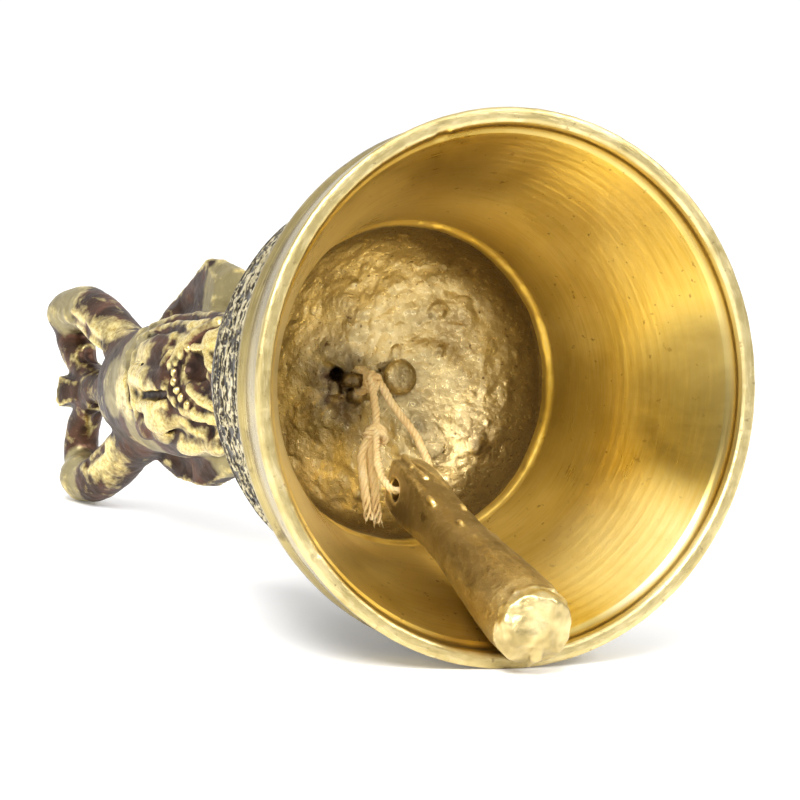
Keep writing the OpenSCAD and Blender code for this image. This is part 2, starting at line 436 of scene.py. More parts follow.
def turned_brass():
    """Bright machined brass: fine lathe marks, rubbed smudges, a few dark specks, and darker and paler patches
    that are partly tarnish and rubbed brass and partly painted reflections.
    """
    p = Paint("turned_brass")
    lathe = p.noise(1.0, 4, 0.6, p.turned(2.0, 1.6))
    fine = p.noise(1.0, 3, 0.6, p.turned(4.0, 7.0))
    smudge = p.noise(0.045, 4, 0.55, distort=0.6)
    base = p.ramp(smudge, (0.3, (0.50, 0.36, 0.08)), (0.5, (0.70, 0.53, 0.15)),
                  (0.72, (0.86, 0.69, 0.26)))
    colour = p.mix(p.ramp(fine, (0.35, 0.0), (0.75, 0.3)), base, (0.93, 0.80, 0.40))
    speck = p.ramp(p.noise(0.9, 2, 0.5), (0.26, 1.0), (0.32, 0.0))
    colour = p.mix(p.times(speck, 0.6), colour, (0.22, 0.13, 0.05))
    # darker and paler patches fixed to the metal, partly tarnish and rubbed brass and partly painted
    # reflections, the groove inside the lip, and streaks all round
    cloud = p.plus(p.noise(0.12, 4, 0.6, p.turned(30.0, 0.9), 0.5), 0.35)

    # dark patches stand partly for tarnish, pale ones partly for rubbed brass, and all partly for painted
    # reflections
    def stain(colour, centre, outer, inner, share, tone):
        area = p.times(patch(p, centre, outer, inner), cloud)
        return p.mix(p.times(area, share, clamp=True), colour, tone)

    # painted reflection and tarnish: a dark patch low on the +x side of the flare
    colour = stain(colour, (33, 2, 6), 16, 9, 0.95, (0.25, 0.185, 0.06))
    # painted reflection and tarnish: a dark patch on the -y side
    colour = stain(colour, (2, -29, 10), 13, 3, 0.6, (0.30, 0.20, 0.07))
    groove = p.ramp(p.math("DIVIDE", p.split(p.at)[2], 4.0), (0.45, 0.7), (0.58, 0.0))
    colour = p.mix(groove, colour, (0.40, 0.28, 0.09))
    # painted reflection and tarnish: a dark patch near the step on the +x side
    colour = stain(colour, (20, 5, 24), 11, 5, 0.5, (0.42, 0.28, 0.05))
    # painted reflection and rubbed brass: a pale patch low on the -x side
    colour = stain(colour, (-30, 6, 6), 24, 9, 0.6, (0.98, 0.90, 0.62))
    streaks = p.ramp(p.noise(1.0, 4, 0.65, p.turned(3.0, 2.6)), (0.52, 0.0), (0.74, 0.35))
    colour = p.mix(streaks, colour, (0.52, 0.38, 0.12))
    # painted reflection: a pale patch low on the +x, +y side, where the bright floor shows in the metal
    colour = stain(colour, (22, 22, 9), 14, 6, 0.9, (1.0, 0.94, 0.66))
    rough = p.plus(p.times(smudge, 0.22), 0.16)
    rough = p.plus(rough, p.times(fine, 0.08))
    height = p.plus(p.times(lathe, 0.7), p.times(fine, 0.3))
    return p.finish(colour, rough, p.bump(height, 0.06, 0.5))


def cast_brass():
    """Rough sand-cast brass: sparkling grain, brown stain, dark pits, a painted shade ring round the dome's
    edge and a scorch in the middle.
    """
    p = Paint("cast_brass")
    x, y, z = p.split(p.at)
    grain = p.noise(1.5, 5, 0.65)
    stain = p.noise(0.11, 4, 0.6, distort=0.4)
    base = p.ramp(stain, (0.32, (0.32, 0.235, 0.11)), (0.5, (0.54, 0.42, 0.20)),
                  (0.7, (0.76, 0.61, 0.32)))
    colour = p.mix(p.ramp(grain, (0.46, 0.0), (0.70, 0.45)), base, (0.90, 0.76, 0.44))
    raised = p.attribute("raised")
    colour = p.mix(p.ramp(p.times(raised, -1.1), (0.15, 0.0), (0.9, 0.9)), colour,
                   (0.07, 0.045, 0.02))
    radius = p.vector("LENGTH", p.join(x, y, 0.0))
    # painted shade: a dark ring round the dome's edge, where the cast wall goes deeper
    wall = p.ramp(p.math("DIVIDE", p.math("SUBTRACT", radius, 16.6), 4.0), (0.1, 0.0), (0.6, 0.8))
    colour = p.mix(wall, colour, (0.20, 0.135, 0.05))
    away = p.vector("LENGTH", p.join(p.plus(x, 3.4), p.times(y, 0.75), 0.0))
    scorch = p.math("SUBTRACT", 1.0, p.math("DIVIDE", away, 7.5), clamp=True)
    scorch = p.times(scorch, p.ramp(p.noise(0.4, 4, 0.6), (0.3, 0.3), (0.7, 1.5)))
    colour = p.mix(p.times(scorch, 1.0, clamp=True), colour, (0.075, 0.045, 0.028))
    speck = p.ramp(p.noise(1.1, 2, 0.5), (0.25, 0.9), (0.32, 0.0))
    colour = p.mix(speck, colour, (0.10, 0.055, 0.03))
    rough = p.ramp(grain, (0.3, 0.42), (0.7, 0.22))
    return p.finish(colour, rough, p.bump(grain, 0.26, 0.7), metallic=0.97)


def lip_brass():
    """Polished outer lip: brass with dark olive marks that are painted shade, and fine turning lines."""
    p = Paint("lip_brass")
    fine = p.noise(1.0, 3, 0.6, p.turned(5.0, 6.0))
    smudge = p.noise(0.09, 4, 0.6, distort=0.5)
    base = p.ramp(smudge, (0.3, (0.25, 0.19, 0.07)), (0.6, (0.46, 0.36, 0.14)), (0.8, (0.66, 0.54, 0.26)))
    # painted shade: dark olive marks scattered over the lip
    dark = p.ramp(p.noise(0.35, 4, 0.65), (0.58, 0.0), (0.70, 0.8))
    colour = p.mix(dark, base, (0.17, 0.12, 0.05))
    colour = p.mix(p.ramp(fine, (0.5, 0.0), (0.8, 0.4)), colour, (0.95, 0.82, 0.50))
    return p.finish(colour, p.plus(p.times(smudge, 0.25), 0.14), p.bump(fine, 0.05, 0.5))


def rim_brass():
    """The flat rim face: pale, filed and scratched, with brown nicks."""
    p = Paint("rim_brass")
    scratch = p.noise(1.6, 4, 0.65, p.turned(9.0, 1.5))
    nick = p.noise(0.9, 4, 0.6)
    base = p.ramp(p.noise(0.16, 3, 0.6), (0.3, (0.46, 0.36, 0.14)), (0.7, (0.74, 0.61, 0.30)))
    colour = p.mix(p.ramp(scratch, (0.5, 0.0), (0.75, 0.5)), base, (0.90, 0.79, 0.48))
    colour = p.mix(p.ramp(nick, (0.62, 0.0), (0.70, 0.7)), colour, (0.30, 0.21, 0.09))
    return p.finish(colour, p.plus(p.times(scratch, 0.2), 0.30),
                    p.bump(p.plus(scratch, nick), 0.10, 0.7))


def band_brass():
    """The cup's outer wall: black patina in the hollows, pale worn brass on the worm-like marks."""
    p = Paint("band_brass")
    grain = p.noise(1.3, 4, 0.65)
    stain = p.noise(0.2, 3, 0.6)
    dark = p.ramp(stain, (0.35, (0.02, 0.016, 0.012)), (0.65, (0.085, 0.065, 0.04)))
    pale = p.ramp(grain, (0.3, (0.45, 0.36, 0.17)), (0.7, (0.86, 0.76, 0.48)))
    high = p.plus(p.times(p.attribute("raised"), 3.0),
                  p.times(p.math("SUBTRACT", grain, 0.5), 2.4))
    colour = p.mix(p.ramp(high, (0.05, 0.0), (0.42, 1.0)), dark, pale)
    return p.finish(colour, p.ramp(grain, (0.3, 0.5), (0.7, 0.3)), p.bump(grain, 0.2, 0.7), metallic=0.9)


def patina_brass():
    """Dark purple-brown patina, light brown where handled and as painted light on the wings' lower faces,
    rubbed to yellow brass on the high places.
    """
    p = Paint("patina_brass")
    stain = p.noise(0.16, 4, 0.6, distort=0.7)
    patch = p.noise(0.30, 3, 0.55, distort=0.4)
    grain = p.noise(1.6, 4, 0.6)
    dark = p.ramp(stain, (0.3, (0.028, 0.016, 0.012)), (0.5, (0.070, 0.040, 0.026)),
                  (0.72, (0.17, 0.075, 0.045)))
    tan = p.ramp(stain, (0.3, (0.20, 0.16, 0.07)), (0.7, (0.44, 0.37, 0.19)))
    yellow = p.ramp(grain, (0.3, (0.60, 0.42, 0.11)), (0.7, (0.96, 0.82, 0.38)))
    uneven = p.math("SUBTRACT", patch, 0.52)
    fine = p.math("SUBTRACT", grain, 0.5)
    high = p.plus(p.times(p.attribute("wear"), 2.0), p.times(uneven, 1.3))
    high = p.plus(high, p.times(fine, 0.3))
    high = p.plus(high, p.times(p.attribute("rub"), 0.52))
    high = p.math("SUBTRACT", high, 0.04)
    # light brown where handled, and painted light where light falls on the wings' lower faces
    tanned_and_lit = p.plus(p.times(p.attribute("tan"), 0.8), p.times(uneven, 1.2))
    colour = p.mix(p.ramp(tanned_and_lit, (0.3, 0.0), (0.6, 1.0)), dark, tan)
    shown = p.ramp(high, (0.10, 0.0), (0.32, 0.5), (0.58, 1.0))
    colour = p.mix(shown, colour, yellow)
    low = p.ramp(p.times(p.attribute("wear"), -2.6), (0.22, 0.0), (0.7, 0.9))
    colour = p.mix(low, colour, (0.012, 0.007, 0.006))
    rough = p.math("SUBTRACT", p.plus(p.times(grain, 0.2), 0.36),
                   p.times(shown, 0.18))
    return p.finish(colour, rough, p.bump(grain, 0.12, 0.6), metallic=0.9)


def dull_brass():
    """Dull brown brass, scratched bright on its edges, with a pale fresh break at the end."""
    p = Paint("dull_brass")
    x, y, z = p.split(p.at)
    streak = p.noise(0.5, 4, 0.6, p.join(p.times(x, 2.2), p.times(y, 0.8),
                                         p.times(z, 0.8)), 0.3)
    grain = p.noise(1.8, 4, 0.6)
    stain = p.noise(0.16, 4, 0.6, distort=0.5)
    body = p.ramp(stain, (0.3, (0.34, 0.25, 0.12)), (0.52, (0.49, 0.385, 0.20)),
                  (0.75, (0.66, 0.545, 0.32)))
    body = p.mix(p.ramp(streak, (0.56, 0.0), (0.70, 0.5)), body, (0.74, 0.62, 0.36))
    body = p.mix(p.ramp(streak, (0.26, 0.6), (0.36, 0.0)), body, (0.13, 0.085, 0.04))
    high = p.plus(p.times(p.attribute("wear"), 4.2),
                  p.times(p.math("SUBTRACT", grain, 0.5), 0.9))
    colour = p.mix(p.ramp(high, (0.14, 0.0), (0.5, 0.8)), body, (0.93, 0.76, 0.40))
    broken = p.ramp(p.noise(0.3, 2, 0.5), (0.35, (0.40, 0.31, 0.13)), (0.5, (0.58, 0.46, 0.21)),
                    (0.65, (0.74, 0.61, 0.31)))
    colour = p.mix(p.ramp(p.attribute("end"), (0.55, 0.0), (0.95, 1.0)), colour, broken)
    rough = p.plus(p.times(grain, 0.25), 0.27)
    return p.finish(colour, rough, p.bump(p.plus(grain, streak), 0.12, 0.6))


def cotton():
    """Cream cotton: fine fibres along each ply and darker hollows between the plies."""
    p = Paint("cotton_twine")
    fibre = p.noise(7.0, 3, 0.6)
    stain = p.noise(0.35, 3, 0.5)
    colour = p.ramp(stain, (0.3, (0.72, 0.50, 0.22)), (0.55, (0.86, 0.66, 0.34)), (0.75, (0.93, 0.78, 0.48)))
    colour = p.mix(p.ramp(fibre, (0.35, 0.5), (0.6, 0.0)), colour, (0.60, 0.42, 0.18))
    material = p.finish(colour, 0.85, p.bump(fibre, 0.12, 0.7), metallic=0.0)
    p.shader.inputs["Subsurface Weight"].default_value = 0.15
    p.shader.inputs["Subsurface Radius"].default_value = (0.001, 0.0006, 0.0003)
    return material


# ---------------------------------------------------------------- the cup

LIP_W = 1.8
STEP_Z, STEP_R = 29.8, 21.4
DOME_Z = 46.6
BAND_R = 33.5
CROWN = 51.5
SHOULDER_Z, SHOULDER_R = 34.5, 25.5
FLARE = 1.46


def flare_r(z):
    """Radius of the turned flare at height z."""
    return STEP_R + (MOUTH_R - LIP_W - STEP_R) * (1 - z / STEP_Z) ** FLARE


def ellipse(cz, rr, rz, a0, a1, n, cr=0.0):
    a = np.radians(np.linspace(a0, a1, n))
    return list(zip(cr + rr * np.cos(a), cz + rz * np.sin(a)))


def cup_profile():
    """(r, z, zone) from the middle of the ceiling, out to the lip and up to the crown."""
    dome = ellipse(STEP_Z + 2.2, STEP_R - 0.9, DOME_Z - STEP_Z - 2.2, 90, 0, 90)
    dome[0] = (0.02, dome[0][1])
    step = [(STEP_R - 0.8, STEP_Z + 1.6), (STEP_R - 0.7, STEP_Z + 1.0), (STEP_R - 0.62, STEP_Z + 0.7)]
    chamfer = [(STEP_R - 0.35, STEP_Z + 0.35), (STEP_R - 0.05, STEP_Z)]
    flare = [(flare_r(z), z) for z in np.linspace(STEP_Z - 0.4, 2.5, 62)]
    flare += [(flare_r(2.3), 2.3), (flare_r(2.1) + 0.22, 2.1), (flare_r(1.6) + 0.26, 1.6),
              (flare_r(1.1) + 0.24, 1.15), (flare_r(0.9) + 0.06, 0.95), (flare_r(0.7), 0.7)]
    r_in = MOUTH_R - LIP_W
    lip = [(r_in - 0.1, 0.35), (r_in + 0.05, 0.12), (r_in + 0.3, 0.02), (r_in + 0.6, 0.0),
           (MOUTH_R - 0.7, 0.0), (MOUTH_R - 0.4, 0.03), (MOUTH_R - 0.12, 0.15), (MOUTH_R, 0.4)]
    band = [(MOUTH_R - 0.1, 1.0), (MOUTH_R - 0.3, 2.2), (MOUTH_R - 0.62, 3.6), (MOUTH_R - 1.0, 5.0),
            (MOUTH_R - 1.35, 6.2), (MOUTH_R - 1.6, 7.0), (BAND_R - 0.12, 7.6), (BAND_R + 0.1, 8.1),
            (BAND_R + 0.25, 8.6), (BAND_R + 0.25, 9.1), (BAND_R + 0.02, 9.6), (BAND_R - 0.5, 10.0)]
    wall = []
    for t in np.linspace(0.02, 1, 84):
        z = 10.1 + t * (SHOULDER_Z - 1.4 - 10.1)
        wall.append((BAND_R - 0.7 + t * (SHOULDER_R + 0.7 - BAND_R + 0.7) - 0.35 * math.sin(math.pi * t), z))
    ridges = []
    for z in np.arange(SHOULDER_Z - 1.2, SHOULDER_Z + 2.65, 0.15):
        ridge = max(0.0, math.cos((z - SHOULDER_Z) * 2 * math.pi / 1.1)) ** 2
        ridges.append((SHOULDER_R + 0.55 - 0.42 * (z - SHOULDER_Z + 1.2) / 1.1 + 0.32 * ridge, z))
    shoulder = ellipse(SHOULDER_Z + 2.7, SHOULDER_R - 5.4, CROWN - SHOULDER_Z - 2.7, 4, 84, 34, 4.0)
    crown = [(4.5, CROWN), (3.0, CROWN)]
    out = []
    for zone, part in enumerate((dome, step, chamfer, flare, lip, band, wall, ridges, shoulder, crown)):
        out += [(r, z, zone) for r, z in part]
    return np.array(out)


DOME, STEP, CHAMFER, FLARE_ZONE, LIP, LIP_BAND, WALL, RIDGES, SHOULDER, CROWN_ZONE = range(10)


def cup(materials):
    """The turned cup, each zone with its own surface: cast dome, chamfer, lip chip, cast band."""
    profile = cup_profile()
    rows, cols = len(profile), 720
    angle = np.linspace(0, 2 * math.pi, cols, endpoint=False)
    r, z, zone = profile.T
    tangent = np.gradient(profile[:, :2], axis=0)
    tangent /= np.linalg.norm(tangent, axis=1)[:, None]
    # out of the metal: towards the hollow on the inside, away from it on the outside
    out_r, out_z = -tangent[:, 1], tangent[:, 0]
    if out_z[0] > 0:
        out_r, out_z = -out_r, -out_z
    p = np.stack([r[:, None] * np.cos(angle), r[:, None] * np.sin(angle), np.repeat(z[:, None], cols, 1)], -1)
    lift = np.zeros((rows, cols))

    dome = zone == DOME
    d = p[dome]
    edge = smoothstep(r[dome], STEP_R - 0.9, STEP_R - 4)[:, None]
    folds = 1 - 2 * np.abs(noise(d + 1.2 * noise(d, 5, 19)[..., None], 3.4, 23))
    lift[dome] = 0.55 * fractal(d, 8, 3, 3) + 0.22 * fractal(d, 2.2, 3, 17) + 0.10 * fractal(d, 0.9, 2, 29)
    lift[dome] += 0.14 * folds
    pits = noise(d, 1.9, 41)
    lift[dome] -= 0.22 * smoothstep(pits, 0.60, 0.85)
    lift[dome] *= (0.35 + 0.65 * edge)
    for (x, y), size, depth in (((-2.7, -0.8), 0.85, -2.4), ((-2.1, 1.1), 1.5, 0.5), ((-3.6, 1.0), 1.3, 0.5),
                                ((-4.2, -1.0), 1.3, 0.45), ((10.4, -9.6), 1.2, -0.4), ((1.6, -6), 2.4, 0.3),
                                ((-7, 5), 3.0, -0.4), ((-6, 9), 3.4, 0.45), ((8, 8), 3.6, -0.35)):
        away = np.hypot(d[..., 0] - x, d[..., 1] - y) / size
        lift[dome] += depth * smoothstep(away, 1.25, 0.55)

    ragged = np.isin(zone, (STEP, CHAMFER))
    lift[ragged] = 0.16 * fractal(p[ragged], 2.4, 3, 51)
    flare = zone == FLARE_ZONE
    lift[flare] = 0.012 * np.sin(z[flare] * 2 * math.pi / 1.35)[:, None] + 0.02 * noise(p[flare], 6, 61)

    wall = zone == WALL
    w = p[wall]
    warped = w + 0.8 * np.stack([noise(w, 2.4, 71), noise(w, 2.4, 73), noise(w, 2.4, 75)], -1)
    worm = 1 - np.abs(noise(warped, 1.5, 77)) * 3.0
    fade = (smoothstep(w[..., 2], 10.2, 12) * smoothstep(w[..., 2], 33.2, 31.5))
    lift[wall] = fade * (0.30 * smoothstep(worm, 0.15, 0.85) + 0.16 * fractal(w, 1.3, 3, 81) - 0.12)
    ridges = np.isin(zone, (RIDGES, SHOULDER))
    lift[ridges] = 0.06 * fractal(p[ridges], 1.6, 3, 91)
    band = zone == LIP_BAND
    lift[band] = 0.03 * fractal(p[band], 3, 3, 95)

    lip = zone == LIP
    l = p[lip]
    lift[lip] = 0.05 * fractal(l, 1.6, 3, 97)
    verts = p + np.stack([out_r[:, None] * lift * np.cos(angle), out_r[:, None] * lift * np.sin(angle),
                          out_z[:, None] * lift], -1)
    # two places where the casting is chipped at the inner edge of the lip
    for turn, width, depth in ((-1.88, 0.035, 0.22), (2.5, 0.02, 0.2)):
        away = np.abs((angle - turn + math.pi) % (2 * math.pi) - math.pi) / width
        bite = depth * smoothstep(away, 1.1, 0.5)[None] * smoothstep(verts[..., 2], 3.0, 0.3)
        bite = bite * (0.7 + 0.5 * noise(p, 1.1, 99))
        inner = (smoothstep(r, MOUTH_R - 0.5, MOUTH_R - 1.2) * np.isin(zone, (LIP, FLARE_ZONE)))[:, None]
        verts[..., 2] += 0.9 * bite * inner
        grow = 1 + 0.9 * bite * inner / np.maximum(r, 1)[:, None]
        verts[..., 0] *= grow
        verts[..., 1] *= grow

    faces = grid_faces(rows, cols)
    piece = place("cup", verts.reshape(-1, 3), faces, materials[0], "bell", "turned_brass", ["bell_cup"],
                  raised=lift.ravel())
    for extra in materials[1:]:
        piece.data.materials.append(extra)
    kind = {DOME: 1, STEP: 0, CHAMFER: 0, FLARE_ZONE: 0, LIP: 4, LIP_BAND: 2, WALL: 3, RIDGES: 3,
            SHOULDER: 3, CROWN_ZONE: 3}
    row_kind = [kind[int(k)] for k in zone[:-1]]
    piece.data.polygons.foreach_set("material_index", np.repeat(row_kind, cols).astype(np.int32))


# ---------------------------------------------------------------- the handle, sculpted in clay

# how far the handle leans towards the underside, for each mm above the crown
LEAN = 0.041
TRUNK_Z = [74, 80, 87, 95, 103, 112, 120, 126, 131]
TRUNK_W = [9.0, 9.8, 10.2, 10.3, 10.6, 9.8, 9.1, 7.4, 4.6]
TRUNK_T = [8.0, 8.6, 9.0, 9.2, 9.0, 8.0, 7.0, 5.8, 3.6]
UPPER_HORN = [(-4.2, 122), (-5.9, 128), (-8.4, 134), (-10.9, 139.8), (-12.6, 145.6), (-12.9, 151.4),
              (-12.2, 155.6)]
UPPER_BACK = [(-12.2, 155.2), (-9.4, 156.2), (-6.6, 154.2), (-4.2, 151), (-2, 147.6), (-0.6, 144)]
LOWER_HORN = [(6, 117), (7.4, 122.4), (9.2, 127.6), (11.2, 132.4), (12.9, 137.4), (13.9, 143),
              (13.2, 148.4)]
LOWER_BACK = [(13.2, 148), (10.6, 151.6), (7.2, 151.8), (4.4, 150), (2.4, 147), (1, 143.6)]


def skin(y, z, out=0.0):
    """A point on the trunk's front, moved out of it by that many mm."""
    w, t = np.interp(z, TRUNK_Z, TRUNK_W), np.interp(z, TRUNK_Z, TRUNK_T)
    x = -t * math.sqrt(max(0.0, 1 - (y / w) ** 2))
    n = np.array([x / t ** 2, y / w ** 2, 0.0])
    return np.array([x, y, z]) + out * n / np.linalg.norm(n)


def trunk_shape(p):
    w = np.interp(p[..., 2], TRUNK_Z, TRUNK_W)
    t = np.interp(p[..., 2], TRUNK_Z, TRUNK_T)
    side = (np.hypot(p[..., 0] / t, p[..., 1] / w) - 1) * np.minimum(w, t)
    return np.maximum(side, np.abs(p[..., 2] - 102.5) - 28.5)


STEM_Z = [51.5, 52.1, 53.1, 53.9, 55.2, 56.4, 58.2, 60.5, 62.8, 64.6, 65.8, 66.6, 67.6, 68.8, 70.0,
          71.2, 74.5]
STEM_R = [10.8, 11.4, 11.4, 10.4, 8.7, 7.4, 6.4, 6.1, 6.4, 7.6, 9.4, 11.0, 11.5, 11.1, 9.4, 8.8, 9.2]


def stem_shape(p):
    r = np.hypot(p[..., 0], p[..., 1])
    angle = np.arctan2(p[..., 1], p[..., 0])
    z = p[..., 2]
    radius = np.interp(z, STEM_Z, STEM_R)
    petals = 0.45 * np.abs(np.sin(angle * 6)) * smoothstep(np.abs(z - 67.6), 2.2, 0.6)
    flutes = 0.25 * np.cos(angle * 12) * smoothstep(np.abs(z - 60.5), 4.5, 2.0)
    return np.maximum((r - radius + petals - flutes) * 0.75, np.abs(z - 63) - 11.5)


UPPER_WING = [(0, 132), (7.5, 130.5), (19.0, 105), (18.8, 102.5), (16.2, 94), (9, 86), (0, 84)]
LOWER_WING = [(0, 133), (8.6, 131.5), (13.6, 116), (14.9, 106), (12.6, 96), (9, 87), (0, 84)]


def wing(clay, side, outline):
    """An angular lobe behind the trunk, with flat facets at its lower end."""
    planes = []
    for (y0, z0), (y1, z1) in zip(outline[:-1], outline[1:]):
        planes.append(((0, side * y0, z0), (0, side * (z0 - z1), y1 - y0)))
    reach = max(y for y, z in outline)
    planes += [((2.4, side * 12, 110), (-1, side * 0.16, 0.08)), ((7.4, side * 8, 104), (1, side * 0.2, 0)),
               ((2.7, side * (reach - 4.5), 98), (-0.8, side * 0.22, -0.5)),
               ((2.9, side * (reach - 1.5), 103), (-0.75, side * 0.6, -0.2)),
               ((5.6, side * 10, 124), (0.75, side * 0.3, 0.6))]
    clay.add(lambda p: slab(p, planes), (0, min(0, side * 20), 84), (9, max(0, side * 20), 134), 1.2)
    # a hollow and soft folds on the face
    clay.rope([(1.6, side * 9.4, 121), (1.8, side * 12.6, 110)], [1.0, 1.5], 1.2, cut=True)
    clay.ball((2.4, side * 10.6, 117), (0.9, 1.3, 2.6), 1.4)


def tuck(y, z):
    """Draws the horns' ends in a little towards the trunk."""
    return y, z if z < 127 else 127 + (z - 127) * 0.88


def horns(clay):
    for outer, back, cap in ((UPPER_HORN, UPPER_BACK, (0.2, -12.4, 154.8)),
                             (LOWER_HORN, LOWER_BACK, (-0.4, 13.6, 146.8))):
        limb, _ = smooth_path([(0.4 - 0.12 * k, *tuck(y, z)) for k, (y, z) in enumerate(outer)], 14)
        back, _ = smooth_path([(0.8, *tuck(y, z)) for y, z in back], 12)
        clay.rope(limb, np.linspace(3.6, 3.2, len(limb)), 1.0)
        clay.rope(limb[2:-2] * (1, 0.93, 1) + (-2.4, 0, 0), 1.2, 0.8)
        clay.rope(limb[2:-2] * (1, 1.02, 1) + (2.4, 0, 0), 1.4, 0.8)
        clay.rope(back, np.linspace(2.8, 1.9, len(back)), 1.0)
        clay.ball((cap[0], *tuck(*cap[1:])), (3.7, 3.4, 3.4), 1.4)
    # hollows between the limbs and the ridges on them
    clay.rope([(-3.6, -6.9, 131), (-3.9, -9.4, 137), (-3.8, -11.2, 143)], 0.7, 0.9, cut=True)
    clay.rope([(-3.6, 9.0, 129), (-4.0, 11.4, 135)], 0.7, 0.9, cut=True)
    clay.rope([(-2.6, -8.9, 149), (-2.8, -5.6, 145)], 0.8, 0.8, cut=True)


def crest(clay):
    clay.rope([(0.6, 0, 126), (0.6, 0, 133), (0.8, 0.1, 140), (0.8, 0.1, 146)], [4.4, 3.3, 2.8, 2.6], 1.6)
    point = [((-0.6, -0.2, 151.4), (a, b, 1.3)) for a, b in ((-1, -0.3), (0.2, -1), (1, 0.3), (-0.3, 1))]
    point += [((3.4, 0, 147), (1, 0, -0.25)), ((-3.0, 0, 147), (-1, 0, -0.25)),
              ((0, 2.0, 147), (0, 1, -0.25)), ((0, -2.0, 147), (0, -1, -0.25)), ((0, 0, 144), (0, 0, -1))]
    clay.add(lambda p: slab(p, point), (-4, -4, 144), (4, 4, 153.5), 0.9)
    # see-through eyes between the horns and the post
    for points, r in (([(0, -5.0, 132.5), (0, -5.4, 138), (0, -6.0, 145.5)], [1.1, 1.8, 1.7]),
                      ([(0, 3.4, 131.6), (0, 4.2, 135.6), (0, 5.0, 142)], [1.1, 2.2, 1.9]),
                      ([(0, 2.6, 140.0), (0, 3.4, 137)], [1.1, 1.3])):
        for x in (-9, -6, -4, -2, 0, 2, 4, 6, 9):
            clay.rope([(x, y, z + 0.55 * x) for _, y, z in points], r, 0.5, cut=True)


def relief_work(clay):
    """Ridges, lobes and a beaded arc round a dark oval hollow on the trunk's front and back."""
    def front(pts, out=0.0):
        return np.array([skin(y, z, out) for y, z in pts])

    def both(pts):
        return pts, pts * np.array([-1, 1, 1])

    lines = [  # points as (across, height), height above the skin, radius, blend
        ([(-8.2, 110.6), (-4.6, 108.6), (-0.9, 106.8), (2.6, 105.6)], -0.15, 0.8, 0.7),
        ([(-4.8, 106), (-0.9, 104.2), (2.4, 103.0), (5.8, 104.2)], -0.1, 0.7, 0.6),
        ([(-1.8, 102), (-1.0, 97), (-0.3, 92.4)], -0.5, 2.0, 1.0),
        ([(3.0, 101), (3.0, 96), (2.7, 91)], -0.2, 1.1, 0.7),
        ([(-2.7, 88.9), (-4.8, 87.2), (-7.0, 85.2), (-8.4, 82)], 0.0, 1.15, 0.6),
        ([(-1.0, 90.8), (-2.9, 91.6), (-4.4, 91)], 0.0, 0.8, 0.6),
        ([(-4.9, 83.2), (-3.9, 79), (-1.9, 76)], 0.15, 0.8, 0.4),
        ([(-6.9, 107), (-8.0, 101), (-8.6, 96), (-8.4, 90), (-8.6, 85)], -0.1, 0.9, 0.5),
        ([(-5.8, 103), (-6.8, 98), (-7.0, 93.4)], -0.2, 0.8, 0.6),
        ([(-8.6, 105.6), (-9.6, 100), (-9.8, 94), (-9.6, 88), (-9.2, 82)], -0.1, 0.9, 0.5),
        ([(0.8, 82), (2.4, 79.4), (3.2, 76.6)], 0.1, 0.9, 0.4),
        ([(-0.2, 90.6), (1.0, 89.6), (2.4, 87.6), (3.6, 85.4), (4.6, 82.4), (5.2, 78.6)], -0.1, 0.9, 0.6)]
    for pts, out, r, blend in lines:
        for side in both(front(pts, out)):
            clay.rope(side, r, blend)
    lobes = [((4.9, 95.0), -0.3, (1.9, 2.4, 5.4)), ((8.7, 91), 0.0, (1.7, 1.6, 5.0)),
             ((8.9, 83.6), 0.0, (1.5, 1.5, 3.4)), ((-4.6, 98.5), -0.6, (1.6, 2.3, 5.4)),
             ((-5.8, 79), 0.0, (1.4, 1.8, 2.6)), ((6.2, 102), -0.2, (1.3, 1.9, 3.0)),
             ((7.2, 97), -0.2, (1.3, 1.5, 3.0)), ((-7.4, 77), 0.0, (1.4, 1.6, 2.4)),
             ((-0.4, 90.6), -0.3, (1.4, 1.5, 1.9))]
    for (y, z), out, radii in lobes:
        for centre in both(np.array([skin(y, z, out)])):
            clay.ball(centre[0], radii, 0.9)
    arc = [(-4.9, 85.2), (-4.0, 86.5), (-2.9, 87.3), (-1.6, 87.6), (-0.3, 87.3), (0.9, 86.5), (2.0, 85.3),
           (3.0, 83.9), (3.9, 82.3), (4.6, 80.5), (5.0, 78.7)]
    for k, (y, z) in enumerate(arc):
        for centre in both(np.array([skin(y, z, 0.3)])):
            clay.ball(centre[0], (0.6, 0.66 + 0.1 * math.sin(k * 2.2), 0.55), 0.25)
    hollows = [([(-2.5, 83.6), (-2.3, 80.2)], [2.0, 2.2]),
               ([(1.3, 100), (1.5, 94), (1.2, 89.6)], [0.5, 0.8, 0.6]),
               ([(5.9, 86.6), (6.7, 83.0), (6.4, 79.6)], [1.1, 1.7, 1.3]), ([(6.4, 93.6), (6.9, 90)], 0.6),
               ([(-3.1, 103.4), (-2.8, 99)], 0.4), ([(-6.0, 92.6), (-5.6, 89.8)], 0.6),
               ([(-0.6, 79.6), (0.6, 77.6)], 0.8), ([(-7.3, 104), (-7.5, 97)], 0.35),
               ([(4.2, 101.5), (4.4, 99)], 0.4)]
    for pts, r in hollows:
        for side in both(front(pts, 0.25)):
            clay.rope(side, r, 0.4, cut=True)


def spots(p, places, size):
    """Soft round patches at those places, for paint."""
    total = np.zeros(len(p))
    for x, y, z, r in places:
        d = np.linalg.norm(p - (x, y, z), axis=1)
        total = np.maximum(total, smoothstep(d, r + size, r - size))
    return total


